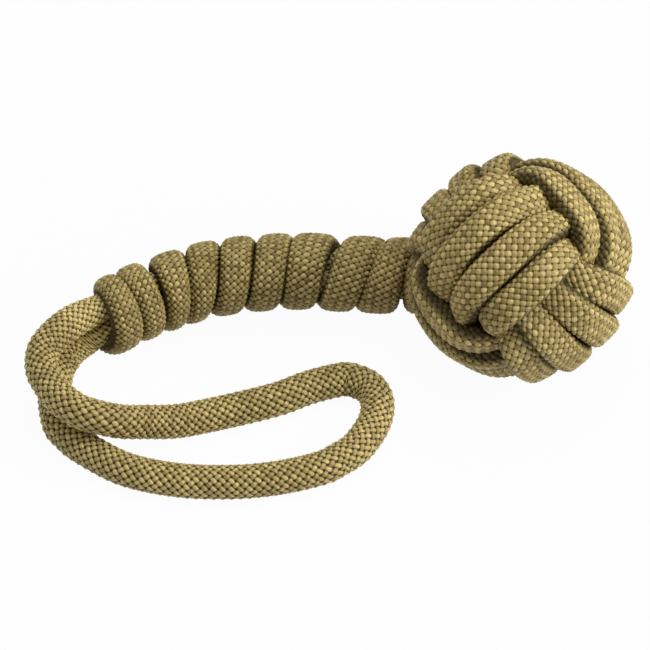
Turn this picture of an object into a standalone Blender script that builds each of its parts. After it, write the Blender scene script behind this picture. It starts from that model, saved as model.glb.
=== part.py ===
"""Monkey's fist key fob: a steel ball inside a fist of cord, a wrapped handle and a finger loop.

The fob is tied in one length of braided cord. Three sets of four turns go round the ball, each
set square to the other two, so that each set lies over one of the others and under the third.
Both tails leave at one corner of the fist. One runs out, turns back as the finger loop and comes
home beside itself. The other is whipped round those two legs from the fist to the loop.

The cord is divided where its job changes. Lengths are in metres, +Z is up, and the fob lies on
its side on a table. The origin is the middle of the box round the fob, on the table.
"""

import math

import bmesh
import bpy
import numpy as np

MM = 0.001

# The cord and the ball
CORD_DIAMETER = 4.4 * MM
BALL_DIAMETER = 14.3 * MM
CLEARANCE = 0.3 * MM
CUT_GAP = 0.5 * MM

# The fist
TURNS = 4
FIST_CORD_THICKNESS = 2.0 * MM
TURN_GAP = 0.6 * MM
FIST_FACING = (-0.332, -0.485, 0.809)
FIST_ACROSS = (0.727, 0.415, 0.547)
SET_START = math.radians(-38)
SET_END = math.radians(206)
FIRST_START = math.radians(-20)
LAST_END = math.radians(187)
SHIFT_START = math.radians(225)
SHIFT_SPAN = math.radians(90)
BEND_PULL = 1.7
LEG_PULL = 1.0
WRAP_PULL = 1.5
BEND_PINCH = 0.35
TAIL_PINCH = 0.5

# How a turn lies on top, at the corner and beneath the crossing set: its height in layers of
# cord above a cord that touches the ball, its angle from the middle of its set, and its roll
INNER_LAYERS = (1.80, 1.09, 0.20)
INNER_ASIDE = (9.6, 9.0, 10.1)
INNER_ROLL = (0.6, -43.0, -4.4)
INNER_SHOULDER = 0.4
OUTER_LAYERS = (1.71, 0.71, 0.27)
OUTER_ASIDE = (29.2, 24.3, 30.4)
OUTER_ROLL = (-14.7, -32.3, 12.0)
OUTER_SHOULDER = 1.3
ASIDE_STEP = math.radians(19)

# The handle, whose middle is given in millimetres from the fist's left side
HANDLE_DIAMETER = 9.4 * MM
WRAP_THICKNESS = 2.3 * MM
WRAP_LENGTH = 39.2 * MM
WRAP_START = 2.4 * MM
WRAP_START_ANGLE = math.radians(45)
PITCH_AT_FIST = 4.8 * MM
PITCH_AT_LOOP = 3.5 * MM
LEG_FILL = 0.85
LEG_END = 43.6 * MM
LEG_TWIST = math.radians(-70)
HANDLE_MIDDLE = [
    (2.8, 5.5, 6.7),
    (0.3, 5.8, 5.9),
    (-2.6, 6.1, 5.6),
    (-7.6, 6.6, 5.4),
    (-12.9, 7.0, 5.4),
    (-17.6, 6.8, 5.4),
    (-21.6, 6.3, 5.4),
    (-25.9, 5.3, 5.4),
    (-29.9, 3.6, 5.4),
    (-33.2, 2.0, 5.4),
    (-36.3, 0.0, 5.4),
    (-39.5, -2.1, 5.4),
]

# The finger loop from the return leg to the outgoing leg, measured the same way
LOOP_ROUTE = [
    (-43.0, -4.2, 7.1),
    (-44.0, -5.5, 7.2),
    (-44.9, -7.0, 7.2),
    (-45.4, -8.4, 7.2),
    (-45.5, -10.3, 7.2),
    (-45.2, -11.9, 7.2),
    (-44.6, -13.2, 7.2),
    (-44.0, -14.5, 7.2),
    (-43.2, -15.7, 7.2),
    (-42.0, -16.9, 7.2),
    (-40.7, -17.9, 7.1),
    (-38.9, -18.5, 6.9),
    (-37.2, -18.6, 6.4),
    (-35.2, -18.2, 5.5),
    (-32.5, -17.0, 4.1),
    (-29.6, -16.0, 3.0),
    (-26.9, -15.0, 2.4),
    (-21.2, -13.2, 2.2),
    (-16.2, -11.5, 2.2),
    (-12.3, -9.6, 2.2),
    (-8.3, -8.3, 2.2),
    (-6.6, -8.6, 2.2),
    (-5.0, -9.6, 2.2),
    (-4.1, -11.2, 2.2),
    (-3.9, -13.1, 2.2),
    (-4.3, -15.3, 2.2),
    (-5.3, -17.6, 2.2),
    (-6.8, -19.9, 2.2),
    (-8.7, -21.5, 2.2),
    (-10.9, -22.9, 2.2),
    (-16.2, -24.5, 2.2),
    (-22.3, -25.2, 2.2),
    (-29.0, -24.8, 2.2),
    (-35.2, -23.0, 2.2),
    (-40.3, -19.5, 2.2),
    (-42.2, -17.5, 2.2),
    (-43.4, -15.5, 2.2),
    (-44.0, -10.9, 2.2),
    (-43.7, -6.7, 2.2),
    (-43.0, -4.9, 2.2),
]

# How finely the cord is drawn
TURN_POINTS = 24
FIST_SIDES = 8
WRAP_SIDES = 6
LOOP_STEP = 2.3 * MM

FLAT_DEPTH = CORD_DIAMETER / 10
LAYER = FIST_CORD_THICKNESS + TURN_GAP
LOWEST_LAYER = BALL_DIAMETER / 2 + CLEARANCE + FIST_CORD_THICKNESS / 2
FIST_RADIUS = LOWEST_LAYER + INNER_LAYERS[0] * LAYER + FIST_CORD_THICKNESS / 2
WRAP_RADIUS = HANDLE_DIAMETER / 2 - WRAP_THICKNESS / 2
WRAP_TURNS = 2 * WRAP_LENGTH / (PITCH_AT_FIST + PITCH_AT_LOOP)
LEG_ROOM = HANDLE_DIAMETER / 2 - WRAP_THICKNESS - CLEARANCE
LEG_THICKNESS = LEG_FILL * (LEG_ROOM - CLEARANCE / 2)
LEG_ASIDE = CLEARANCE / 2 + LEG_THICKNESS / 2
LEG_WIDTH = 2 * math.sqrt((LEG_ROOM - LEG_THICKNESS / 2) ** 2 - LEG_ASIDE**2) + LEG_THICKNESS
TURN_STEP = 2 * math.pi * 1.35 * LOWEST_LAYER / TURN_POINTS
WRAP_STEP = 2 * math.pi * WRAP_RADIUS / TURN_POINTS

CORD_COLOUR = (0.27, 0.22, 0.09)
STEEL_COLOUR = (0.62, 0.61, 0.58)


def new_collection(name):
    collection = bpy.data.collections.new(name)
    bpy.context.scene.collection.children.link(collection)
    return collection


def new_material(name, colour, roughness, metallic):
    material = bpy.data.materials.new(name)
    material.use_nodes = True
    shader = material.node_tree.nodes["Principled BSDF"]
    shader.inputs["Base Color"].default_value = (*colour, 1)
    shader.inputs["Roughness"].default_value = roughness
    shader.inputs["Metallic"].default_value = metallic
    return material


def unit(vectors):
    return vectors / np.linalg.norm(vectors, axis=-1, keepdims=True)


def square_to(vectors, ways):
    """The vectors turned square to the given unit directions."""
    return unit(vectors - np.sum(vectors * ways, axis=-1, keepdims=True) * ways)


def smooth_step(x):
    """0 below 0, 1 above 1, and an even curve between."""
    x = np.clip(x, 0, 1)
    return x * x * (3 - 2 * x)


def run_length(points):
    """How far along the run each point lies."""
    steps = np.linalg.norm(np.diff(points, axis=0), axis=1)
    return np.concatenate([[0], np.cumsum(steps)])


def stations(run, places):
    """The run's columns at the given distances along it."""
    far = run_length(run[:, :3])
    return np.column_stack([np.interp(places, far, column) for column in run.T])


def smooth_curve(points):
    """A closely stepped smooth curve through the given points (Catmull-Rom)."""
    points = np.array(points, float)
    first = 2 * points[0] - points[1]
    last = 2 * points[-1] - points[-2]
    knots = np.vstack([first, points, last])
    t = np.linspace(0, 1, 60, endpoint=False)[:, None]
    runs = []
    for a, b, c, d in zip(knots, knots[1:], knots[2:], knots[3:]):
        bend = (2 * a - 5 * b + 4 * c - d) * t**2 + (3 * b - a - 3 * c + d) * t**3
        runs.append(0.5 * (2 * b + (c - a) * t + bend))
    return np.vstack(runs + [points[-1:]])


def from_fist_side(points):
    """Points given in millimetres from the fist's left side, in metres from its centre."""
    return np.array(points) * MM - np.array([FIST_RADIUS, 0, 0])


def bridge(start, start_way, end, end_way, pull=1.1, count=40):
    """A smooth bend from one point and direction to another (a cubic Hermite curve)."""
    reach = pull * np.linalg.norm(end - start)
    t = np.linspace(0, 1, count)[:, None]
    leave = (2 * t**3 - 3 * t**2 + 1) * start + (t**3 - 2 * t**2 + t) * reach * start_way
    arrive = (3 * t**2 - 2 * t**3) * end + (t**3 - t**2) * reach * end_way
    return leave + arrive


def lie(c, values, shoulder=0.0):
    """A value over a turn: values hold it on top (c=1), at the corner (c=0) and beneath (c=-1)."""
    top, corner, beneath = values
    swing = (top - beneath) / 2 * c * (1 + shoulder * (1 - c * c))
    return corner + swing + ((top + beneath) / 2 - corner) * c * c


def fist_cord_width(points):
    """The turns stand a fixed angle apart, so their room and their width grow with the radius."""
    return np.linalg.norm(points, axis=1) * ASIDE_STEP - TURN_GAP


def turns(axes, start=SET_START, end=SET_END):
    """One set of turns, between two angles of its first and its last turn.

    The cord goes round from the first axis to the second. c = cos(2 theta) is 1 where it lies
    on top, along the first axis, and -1 where it passes beneath, along the second. Each time
    it comes round to the hidden under-crossing it shifts by one cord towards the third axis.
    """
    last = end + 2 * math.pi * (TURNS - 1)
    theta = np.linspace(start, last, int(TURN_POINTS * 8 * (last - start) / (2 * math.pi)))
    count = len(theta)
    place = np.full(count, -(TURNS - 1) / 2)
    for turn in range(TURNS - 1):
        place += smooth_step((theta - SHIFT_START - 2 * math.pi * turn) / SHIFT_SPAN)
    outer = np.clip(np.abs(place) - 0.5, 0, 1)
    c = np.cos(2 * theta)
    layers = (1 - outer) * lie(c, INNER_LAYERS, INNER_SHOULDER)
    layers += outer * lie(c, OUTER_LAYERS, OUTER_SHOULDER)
    radius = LOWEST_LAYER + layers * LAYER
    side = np.clip(place / 0.5, -1, 1)
    aside = side * np.radians((1 - outer) * lie(c, INNER_ASIDE) + outer * lie(c, OUTER_ASIDE))
    roll = side * np.radians((1 - outer) * lie(c, INNER_ROLL) + outer * lie(c, OUTER_ROLL))
    way = np.column_stack([np.cos(aside) * np.cos(theta), np.cos(aside) * np.sin(theta), np.sin(aside)])
    way = way @ np.array(axes)
    points = radius[:, None] * way
    along = unit(np.gradient(points, axis=0))
    out = square_to(way, along)
    across = np.cross(out, along)
    out = np.cos(roll)[:, None] * out + np.sin(roll)[:, None] * across
    return laid(points, out, fist_cord_width(points), FIST_CORD_THICKNESS)


def laid(points, out, widths, thicknesses):
    """A stretch of cord in columns: its middle, direction, way out, width and thickness."""
    along = unit(np.gradient(points, axis=0, edge_order=2))
    full = np.ones(len(points))
    return np.column_stack([points, along, square_to(out, along), widths * full, thicknesses * full])


def backwards(run):
    """The same stretch of cord from its other end."""
    turned = run[::-1].copy()
    turned[:, 3:6] *= -1
    return turned


def bend_between(before, after, pull=BEND_PULL, pinch=BEND_PINCH):
    """The cord between two laid stretches: a bend, with the section changing evenly."""
    points = bridge(before[-1, :3], before[-1, 3:6], after[0, :3], after[0, 3:6], pull)
    share = smooth_step(np.linspace(0, 1, len(points)))[:, None]
    rest = (1 - share) * before[-1, 6:] + share * after[0, 6:]
    drawn_in = 1 - pinch * 4 * (share * (1 - share))[:, 0]
    return laid(points, rest[:, :3], rest[:, 3] * drawn_in, rest[:, 4])


def joined(*runs):
    """Stretches of cord end to end, each without the point that it shares with the last."""
    return np.vstack([runs[0]] + [run[1:] for run in runs[1:]])


def parted(run, at_start=0, at_end=0):
    """The run drawn back a little at the ends where it meets the next piece."""
    length = run_length(run[:, :3])[-1]
    return stations(run, np.linspace(at_start * CUT_GAP, length - at_end * CUT_GAP, len(run)))


def evenly(run, step):
    """The run at even steps of about the given length."""
    length = run_length(run[:, :3])[-1]
    return stations(run, np.linspace(0, length, max(2, round(length / step) + 1)))


def handle_frame(places):
    """Middle of the handle, and its front and up directions, at distances along it."""
    middle = smooth_curve(from_fist_side(HANDLE_MIDDLE))
    far = run_length(middle)
    along = unit(np.gradient(middle, axis=0))
    run = np.column_stack([middle, along])
    found = np.column_stack([np.interp(places, far, column) for column in run.T])
    along = unit(found[:, 3:])
    up = square_to(np.array([[0.0, 0.0, 1.0]]), along)
    front = np.cross(up, along)
    return found[:, :3], front, up


def wrap():
    """The whipping: a helix round the handle whose pitch eases from the fist to the loop.

    Seen from the front each turn goes down, passes beneath and climbs the back.
    """
    count = int(WRAP_TURNS * TURN_POINTS * 8)
    turn = np.linspace(0, WRAP_TURNS, count)
    ease = (PITCH_AT_FIST - PITCH_AT_LOOP) / (2 * WRAP_TURNS)
    place = WRAP_START + PITCH_AT_FIST * turn - ease * turn**2
    angle = WRAP_START_ANGLE - 2 * math.pi * turn
    middle, front, up = handle_frame(place)
    out = np.cos(angle)[:, None] * front + np.sin(angle)[:, None] * up
    points = middle + WRAP_RADIUS * out
    round_trip = TURN_POINTS * 8
    to_next = np.linalg.norm(points[round_trip:] - points[:-round_trip], axis=1)
    ahead = np.append(to_next, [to_next[-1]] * round_trip)
    behind = np.append([to_next[0]] * round_trip, to_next)
    room = np.minimum(ahead, behind)
    return laid(points, out, room - TURN_GAP, WRAP_THICKNESS)


def leg(side):
    """One squeezed leg inside the whipping: 1 lies at the front, -1 at the back.

    The pair twists on its way to the loop, where the front one has come to lie below the other.
    """
    place = np.linspace(WRAP_START, LEG_END, 60)
    middle, front, up = handle_frame(place)
    angle = LEG_TWIST * np.linspace(0, 1, len(place))[:, None]
    out = side * (np.cos(angle) * front + np.sin(angle) * up)
    return laid(middle + LEG_ASIDE * out, out, LEG_WIDTH, LEG_THICKNESS)


def section(sides):
    """A flattened cord's outline: points on the two round ends of a stadium.

    Returns the unit circle's points, and which end each belongs to.
    """
    half = sides // 2
    angle = (np.arange(half) + 0.5) * math.pi / half - math.pi / 2
    right = np.column_stack([np.cos(angle), np.sin(angle)])
    return np.vstack([right, -right]), np.repeat([1.0, -1.0], half)


def rings(run, sides):
    """The corners of the cord's section at each point of the run."""
    circle, end = section(sides)
    points = run[:, :3]
    along = unit(run[:, 3:6])
    out = square_to(run[:, 6:9], along)
    across = np.cross(out, along)
    thickness = run[:, 10:11]
    width = np.maximum(run[:, 9:10], thickness)
    sideways = end * (width - thickness) / 2 + circle[:, 0] * thickness / 2
    outwards = circle[:, 1] * thickness / 2
    return points[:, None] + sideways[:, :, None] * across[:, None] + outwards[:, :, None] * out[:, None]


def loft(name, run, sides, collection):
    """A closed solid through the sections of a stretch of cord."""
    corners = rings(run, sides)
    mesh = bmesh.new()
    loops = [[mesh.verts.new(corner) for corner in ring] for ring in corners]
    for ring, following in zip(loops, loops[1:]):
        for k in range(sides):
            mesh.faces.new((ring[k], ring[k - 1], following[k - 1], following[k]))
    mesh.faces.new(loops[0])
    mesh.faces.new(reversed(loops[-1]))
    bmesh.ops.recalc_face_normals(mesh, faces=mesh.faces)
    data = bpy.data.meshes.new(name)
    mesh.to_mesh(data)
    mesh.free()
    data.materials.append(new_material(name + "_cord", CORD_COLOUR, 0.7, 0.0))
    data.shade_smooth()
    data.set_sharp_from_angle(angle=math.radians(50))
    cord = bpy.data.objects.new(name, data)
    collection.objects.link(cord)
    print(f"{name}: least gap to itself {least_gap(corners, run) / MM:.2f} mm")
    return cord


def least_gap(corners, run):
    """The least distance between corners of sections that lie over three widths apart."""
    far = run_length(run[:, :3])
    reach = 3 * run[:, 9].max()
    least = math.inf
    for index, ring in enumerate(corners):
        others = corners[far > far[index] + reach].reshape(-1, 3)
        if len(others):
            apart = np.linalg.norm(ring[:, None] - others[None], axis=2)
            least = min(least, apart.min())
    return least


def tube(name, points, collection):
    """A round cord of full size along the points, as a mesh with welded ends."""
    curve = bpy.data.curves.new(name, "CURVE")
    curve.dimensions = "3D"
    curve.bevel_depth = CORD_DIAMETER / 2
    curve.bevel_resolution = 2
    curve.use_fill_caps = True
    spline = curve.splines.new("POLY")
    spline.points.add(len(points) - 1)
    for point, place in zip(spline.points, points):
        point.co = (*place, 1)
    guide = bpy.data.objects.new(name + "_curve", curve)
    collection.objects.link(guide)
    bpy.context.view_layer.update()
    evaluated = guide.evaluated_get(bpy.context.evaluated_depsgraph_get())
    data = bpy.data.meshes.new_from_object(evaluated)
    mesh = bmesh.new()
    mesh.from_mesh(data)
    bmesh.ops.remove_doubles(mesh, verts=mesh.verts, dist=1e-6)
    mesh.to_mesh(data)
    mesh.free()
    data.name = name
    data.materials.append(new_material(name + "_cord", CORD_COLOUR, 0.7, 0.0))
    cord = bpy.data.objects.new(name, data)
    collection.objects.link(cord)
    bpy.data.objects.remove(guide)
    far = run_length(points)
    apart = np.linalg.norm(points[:, None] - points[None], axis=2)
    apart[np.abs(far[:, None] - far[None]) < 3 * CORD_DIAMETER] = math.inf
    gap = apart.min() - CORD_DIAMETER
    print(f"{name}: length {far[-1] / MM:.0f} mm, least gap to itself {gap / MM:.2f} mm")
    return cord


def moved_to(collection, thing):
    for owner in thing.users_collection:
        owner.objects.unlink(thing)
    collection.objects.link(thing)
    return thing


def cut_flat(cords, collection):
    """Cuts the cords flat where they lie on the table, with one wide block below them."""
    reach = 4 * LEG_END
    bpy.ops.mesh.primitive_cube_add(size=reach, location=(0, 0, FLAT_DEPTH - reach / 2))
    block = moved_to(collection, bpy.context.object)
    block.name = "table_cutter"
    block.hide_render = True
    block.display_type = "WIRE"
    for cord in cords:
        if min(vertex.co.z for vertex in cord.data.vertices) > FLAT_DEPTH:
            continue
        cut = cord.modifiers.new("flat", "BOOLEAN")
        cut.operation = "DIFFERENCE"
        cut.solver = "EXACT"
        cut.object = block
    return block


def to_origin(pieces, block):
    """Moves everything so that the middle of the box's underside is the origin."""
    bpy.context.view_layer.update()
    graph = bpy.context.evaluated_depsgraph_get()
    corners = []
    for piece in pieces:
        found = piece.evaluated_get(graph)
        corners += [found.matrix_world @ vertex.co for vertex in found.to_mesh().vertices]
        found.to_mesh_clear()
    corners = np.array(corners)
    low, high = corners.min(axis=0), corners.max(axis=0)
    shift = ((low[0] + high[0]) / 2, (low[1] + high[1]) / 2, low[2])
    for thing in [*pieces, block]:
        thing.location = [place - by for place, by in zip(thing.location, shift)]


def lay_out_cord():
    """The whole cord as laid stretches, divided where its job changes."""
    facing = unit(np.array(FIST_FACING))
    across = square_to(np.array(FIST_ACROSS), facing)
    third = np.cross(-facing, across)
    sets = [
        turns((-facing, across, third), start=FIRST_START),
        turns((third, -facing, across)),
        turns((across, third, -facing), end=LAST_END),
    ]
    lowest = min(rings(run, FIST_SIDES)[:, :, 2].min() for run in sets)
    for run in sets:
        run[:, 2] -= lowest
    first, second, third = sets
    whipping = backwards(wrap())
    outgoing = leg(1)
    returning = leg(-1)
    loop = evenly(smooth_curve(from_fist_side(LOOP_ROUTE)), LOOP_STEP)
    tail_out = bend_between(third, outgoing, LEG_PULL, TAIL_PINCH)
    tail_home = bend_between(whipping, first, WRAP_PULL, TAIL_PINCH)
    away = joined(tail_out, outgoing, flare(outgoing, loop[::-1]))
    return -lowest, loop, {
        "first_turns": first,
        "second_turns": parted(joined(bend_between(first, second), second), at_start=1),
        "third_turns": parted(joined(bend_between(second, third), third), at_start=1),
        "handle_wrap": parted(joined(whipping, tail_home), at_end=1),
        "outgoing_leg": parted(away, at_start=1),
        "return_leg": joined(returning, flare(returning, loop)),
    }


def flare(squeezed, loop):
    """The leg swelling to a full round cord, up to a little before the loop's end."""
    way = unit(loop[1] - loop[0])
    points = bridge(squeezed[-1, :3], squeezed[-1, 3:6], loop[0] - CUT_GAP * way, way)
    share = smooth_step(np.linspace(0, 1, len(points)))
    width = (1 - share) * LEG_WIDTH + share * CORD_DIAMETER
    thickness = (1 - share) * LEG_THICKNESS + share * CORD_DIAMETER
    return laid(points, squeezed[-1, 6:9], width, thickness)


def main():
    for old in list(bpy.data.objects):
        bpy.data.objects.remove(old)
    fob = new_collection("monkey_fist_knot")
    cutters = new_collection("cutters")
    height, loop, laid_out = lay_out_cord()

    bpy.ops.mesh.primitive_uv_sphere_add(segments=24, ring_count=12, radius=BALL_DIAMETER / 2)
    ball = moved_to(fob, bpy.context.object)
    ball.name = "core_ball"
    ball.location = (0, 0, height)
    ball.data.materials.append(new_material("ball_steel", STEEL_COLOUR, 0.3, 1.0))
    ball.data.shade_smooth()

    cords = []
    for name in ("first_turns", "second_turns", "third_turns"):
        cords.append(loft(name, evenly(laid_out[name], TURN_STEP), FIST_SIDES, fob))
    cords.append(loft("handle_wrap", evenly(laid_out["handle_wrap"], WRAP_STEP), WRAP_SIDES, fob))
    for name in ("outgoing_leg", "return_leg"):
        cords.append(loft(name, evenly(laid_out[name], LOOP_STEP), FIST_SIDES, fob))
    cords.append(tube("finger_loop", loop, fob))
    block = cut_flat(cords, cutters)
    to_origin([ball, *cords], block)


main()
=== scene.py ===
"""Monkey's fist key fob in olive braided cord, lying on a white table.

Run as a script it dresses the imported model: every stretch of the cord gets its braided sheath,
the ball its steel and the table its light. Lengths are in metres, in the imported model's frame.
"""

import math

import bpy
import numpy as np
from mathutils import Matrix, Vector
from bpy.props import FloatProperty, FloatVectorProperty, IntProperty, PointerProperty


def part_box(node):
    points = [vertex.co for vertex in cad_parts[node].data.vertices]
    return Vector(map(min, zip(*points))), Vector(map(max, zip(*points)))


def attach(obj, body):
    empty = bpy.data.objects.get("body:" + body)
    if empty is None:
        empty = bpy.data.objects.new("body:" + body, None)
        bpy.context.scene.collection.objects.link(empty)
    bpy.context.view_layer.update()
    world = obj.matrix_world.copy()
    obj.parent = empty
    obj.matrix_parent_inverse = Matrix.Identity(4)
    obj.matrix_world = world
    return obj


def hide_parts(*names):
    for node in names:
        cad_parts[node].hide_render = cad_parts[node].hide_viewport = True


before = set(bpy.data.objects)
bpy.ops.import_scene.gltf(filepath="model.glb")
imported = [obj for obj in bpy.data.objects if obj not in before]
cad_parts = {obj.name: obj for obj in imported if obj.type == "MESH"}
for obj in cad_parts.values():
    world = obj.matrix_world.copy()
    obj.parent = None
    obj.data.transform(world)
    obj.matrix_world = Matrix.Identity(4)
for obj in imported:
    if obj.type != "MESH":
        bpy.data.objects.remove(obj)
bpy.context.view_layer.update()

bl_info = {
    "name": "Monkey's Fist Key Fob",
    "version": (1, 0, 0),
    "blender": (4, 5, 0),
    "location": "View3D > Sidebar > Key Fob",
    "description": "A key fob knotted in braided cord, with its wrapped handle and finger loop",
    "category": "Add Mesh",
}

MM = 0.001
BALL_BOX = np.array(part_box("core_ball"))
BALL_MIDDLE = BALL_BOX.mean(axis=0)
BALL_RADIUS = (BALL_BOX[1] - BALL_BOX[0])[2] / 2

# Layers of cord are counted from one that lies this far clear of the ball
BALL_ROOM = 0.1 * MM

# The turns' common middle lies a little off the ball's, towards the handle and the front
FIST_MIDDLE = BALL_MIDDLE + np.array([-0.37, -0.33, 0]) * MM
FIST_RADIUS = 14.13 * MM

# From the ball's middle to where the first set of turns lies on top, which faces the camera, and
# to where the third set does
FIST_FACING = (-0.332, -0.485, 0.809)
FIST_ACROSS = (0.727, 0.415, 0.547)

# The angles round a set at which the cord comes and leaves, and over which it shifts to the next
# turn. The first set starts and the last set ends at angles of their own.
SET_START = math.radians(-38)
SET_END = math.radians(206)
FIRST_START = math.radians(-20)
LAST_END = math.radians(187)
SHIFT_START = math.radians(225)
SHIFT_SPAN = math.radians(90)

# How strongly a bend keeps to the ways of the two stretches that it joins, and the share of its
# width that the cord loses halfway round it
BEND_PULL = 1.7
LEG_PULL = 1.0
WRAP_PULL = 1.5
LOOP_PULL = 1.1
BEND_PINCH = 0.15
TAIL_PINCH = 0.5

# How many points a turn or a leg has, and how many a bend or a step of a route has
TURN_POINTS = 200
BEND_POINTS = 60

# How a turn lies on top, at the corner and beneath the crossing set: its height in layers of
# cord, its angle from the middle of its set and its roll, both in degrees, and how full its
# shoulders are. The set's two middle turns are the inner ones.
INNER_LAYERS = (1.80, 1.09, 0.20)
INNER_ASIDE = (10.8, 10.2, 11.2)
INNER_ROLL = (0.6, -28.0, -4.4)
INNER_SHOULDER = 0.4
OUTER_LAYERS = (1.71, 0.71, 0.27)
OUTER_ASIDE = (32.4, 28.5, 33.4)
OUTER_ROLL = (-10.0, -23.0, 9.0)
OUTER_SHOULDER = 1.3

# Routes are in millimetres from the fist's left side, and from the table before the flat is cut
FLAT = 0.44 * MM
ROUTE_ORIGIN = np.array([BALL_MIDDLE[0] - FIST_RADIUS, BALL_MIDDLE[1], -FLAT])
HANDLE_MIDDLE = [
    (2.8, 5.5, 6.7),
    (0.3, 5.8, 5.9),
    (-2.6, 6.1, 5.6),
    (-7.6, 6.6, 5.4),
    (-12.9, 7.0, 5.4),
    (-17.6, 6.8, 5.4),
    (-21.6, 6.3, 5.4),
    (-25.9, 5.3, 5.4),
    (-29.9, 3.6, 5.4),
    (-33.2, 2.0, 5.4),
    (-36.3, 0.0, 5.4),
    (-39.5, -2.1, 5.4),
]
LOOP_ROUTE = [
    (-43.0, -4.2, 7.1),
    (-44.0, -5.5, 7.2),
    (-44.9, -7.0, 7.2),
    (-45.4, -8.4, 7.2),
    (-45.5, -10.3, 7.2),
    (-45.2, -11.9, 7.2),
    (-44.6, -13.2, 7.2),
    (-44.0, -14.5, 7.2),
    (-43.2, -15.7, 7.2),
    (-42.0, -16.9, 7.2),
    (-40.7, -17.9, 7.1),
    (-38.9, -18.5, 6.9),
    (-37.2, -18.6, 6.4),
    (-35.2, -18.2, 5.5),
    (-32.5, -17.0, 4.1),
    (-29.6, -16.0, 3.0),
    (-26.9, -15.0, 2.4),
    (-21.2, -13.2, 2.2),
    (-16.2, -11.5, 2.2),
    (-12.3, -9.6, 2.2),
    (-8.3, -8.3, 2.2),
    (-6.6, -8.6, 2.2),
    (-5.0, -9.6, 2.2),
    (-4.1, -11.2, 2.2),
    (-3.9, -13.1, 2.2),
    (-4.3, -15.3, 2.2),
    (-5.3, -17.6, 2.2),
    (-6.8, -19.9, 2.2),
    (-8.7, -21.5, 2.2),
    (-10.9, -22.9, 2.2),
    (-16.2, -24.5, 2.2),
    (-22.3, -25.2, 2.2),
    (-29.0, -24.8, 2.2),
    (-35.2, -23.0, 2.2),
    (-40.3, -19.5, 2.2),
    (-42.2, -17.5, 2.2),
    (-43.4, -15.5, 2.2),
    (-44.0, -10.9, 2.2),
    (-43.7, -6.7, 2.2),
    (-43.0, -4.9, 2.2),
]

# How far the whipping strays towards the loop at each turn's foot and crown, which are its lower
# and its upper edge in the camera's view. The first foot is this many half turns from the start.
FIRST_FOOT = 0.484
WRAP_STRAYS = (
    -0.3, -0.5, -0.09, -0.95, -0.25, 0.44, -0.03, 0.18, 0.07, 0.03, 0.23, -0.19, 0.67, -0.07, -0.44,
    0.65, -0.75, -0.05, -0.6,
)

# How many turns from the whipping's end its last turn's spread fades within
LAST_TURN_FADE = 0.6

# The wales' slow twist round the cord, as sines: height in wales, stitches to a radian, and start
TWISTS = ((0.9, 31, 0), (0.5, 13, 1))

# Points lower than this are eased up onto the table
TABLE_EASE = 0.5 * MM

# The braid's shading. Painted shade darkens the gap between two crossing yarns by its share, where
# their heights, from 0 to 2, differ by less than its depth. The fibres' noise is read at a place
# that moves by these amounts to a wale across and along a yarn, and jumps by chance from stitch to
# stitch. Patches are larger than stitches. The groove's painted shade is darkest up to its first
# rise, and ends at its second.
GAP_DEPTH, GAP_SHADE = 0.45, 0.65
FIBRES_ACROSS, FIBRES_ALONG, FIBRE_JUMP, FIBRE_SCALE = 9, 0.7, 30, 1.6
FIBRE_SHARE, FIBRE_RELIEF = 0.6, 0.035 * MM
PATCH_SCALE, PATCH_SHARE = 130, 0.4
GROOVE_RISE = (0.1, 0.75)

# The camera's aim, leftwards from the ball's middle and then down in its view
AIM_LEFT = 24.55 * MM
AIM_DOWN = 7.32 * MM

# Each lamp's place and side, and half the table's side
LAMPS = {
    "top": ((0.1, 0.17, 0.64), 0.6),
    "right": ((0.52, -0.14, 0.3), 0.3),
    "left": ((-0.55, -0.06, 0.22), 0.3),
}
TABLE_HALF = 3.0

# Columns of a laid stretch of cord
POINT = slice(0, 3)
OUT = slice(3, 6)
WIDTH, THICKNESS, CORNER, PICK, STITCH = 6, 7, 8, 9, 10


class CordSettings(bpy.types.PropertyGroup):
    """The braided cord: its size, its braid and its colours"""

    diameter: FloatProperty(
        name="Diameter", description="Of the free cord", default=4.4 * MM, unit="LENGTH",
        precision=5,
    )
    wales: IntProperty(name="Wales", description="Yarns each way round the cord", default=12)
    grid: IntProperty(name="Grid", description="Grid columns to a wale", default=4)
    fist_pick: FloatProperty(
        name="Pick in the fist", description="Stitch spacing along the cord", default=0.95 * MM,
        unit="LENGTH", precision=5,
    )
    wrap_pick: FloatProperty(
        name="Pick in the wrap", description="Stitch spacing along the cord", default=0.65 * MM,
        unit="LENGTH", precision=5,
    )
    loop_pick: FloatProperty(
        name="Pick in the loop", description="Stitch spacing along the cord", default=1.06 * MM,
        unit="LENGTH", precision=5,
    )
    depth: FloatProperty(
        name="Stitch depth", description="From the stitches' crests to the crevices",
        default=0.34 * MM, unit="LENGTH", precision=5,
    )
    tight_yarn: FloatProperty(
        name="Yarn where tight", description="Its width in the squeezed cord, 1 where yarns touch",
        default=0.84,
    )
    loose_yarn: FloatProperty(
        name="Yarn where loose", description="Its width in the free cord, 1 where yarns touch",
        default=0.71,
    )
    # The stitches' own tone runs from dull to bright by chance, and the rightward yarns lean
    # towards bright as a painted sheen
    bright: FloatVectorProperty(
        name="Bright", description="Colour of the brightest stitches", subtype="COLOR",
        default=(0.9, 0.705, 0.275),
    )
    dull: FloatVectorProperty(
        name="Dull", description="Colour of the dullest stitches", subtype="COLOR",
        default=(0.122, 0.076, 0.0),
    )
    # The dark colour is painted shade, in the crevices, the gaps between yarns and the grooves of
    # squeezed cord
    dark: FloatVectorProperty(
        name="Dark", description="Colour in the crevices", subtype="COLOR",
        default=(0.03, 0.0165, 0.0),
    )


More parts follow.
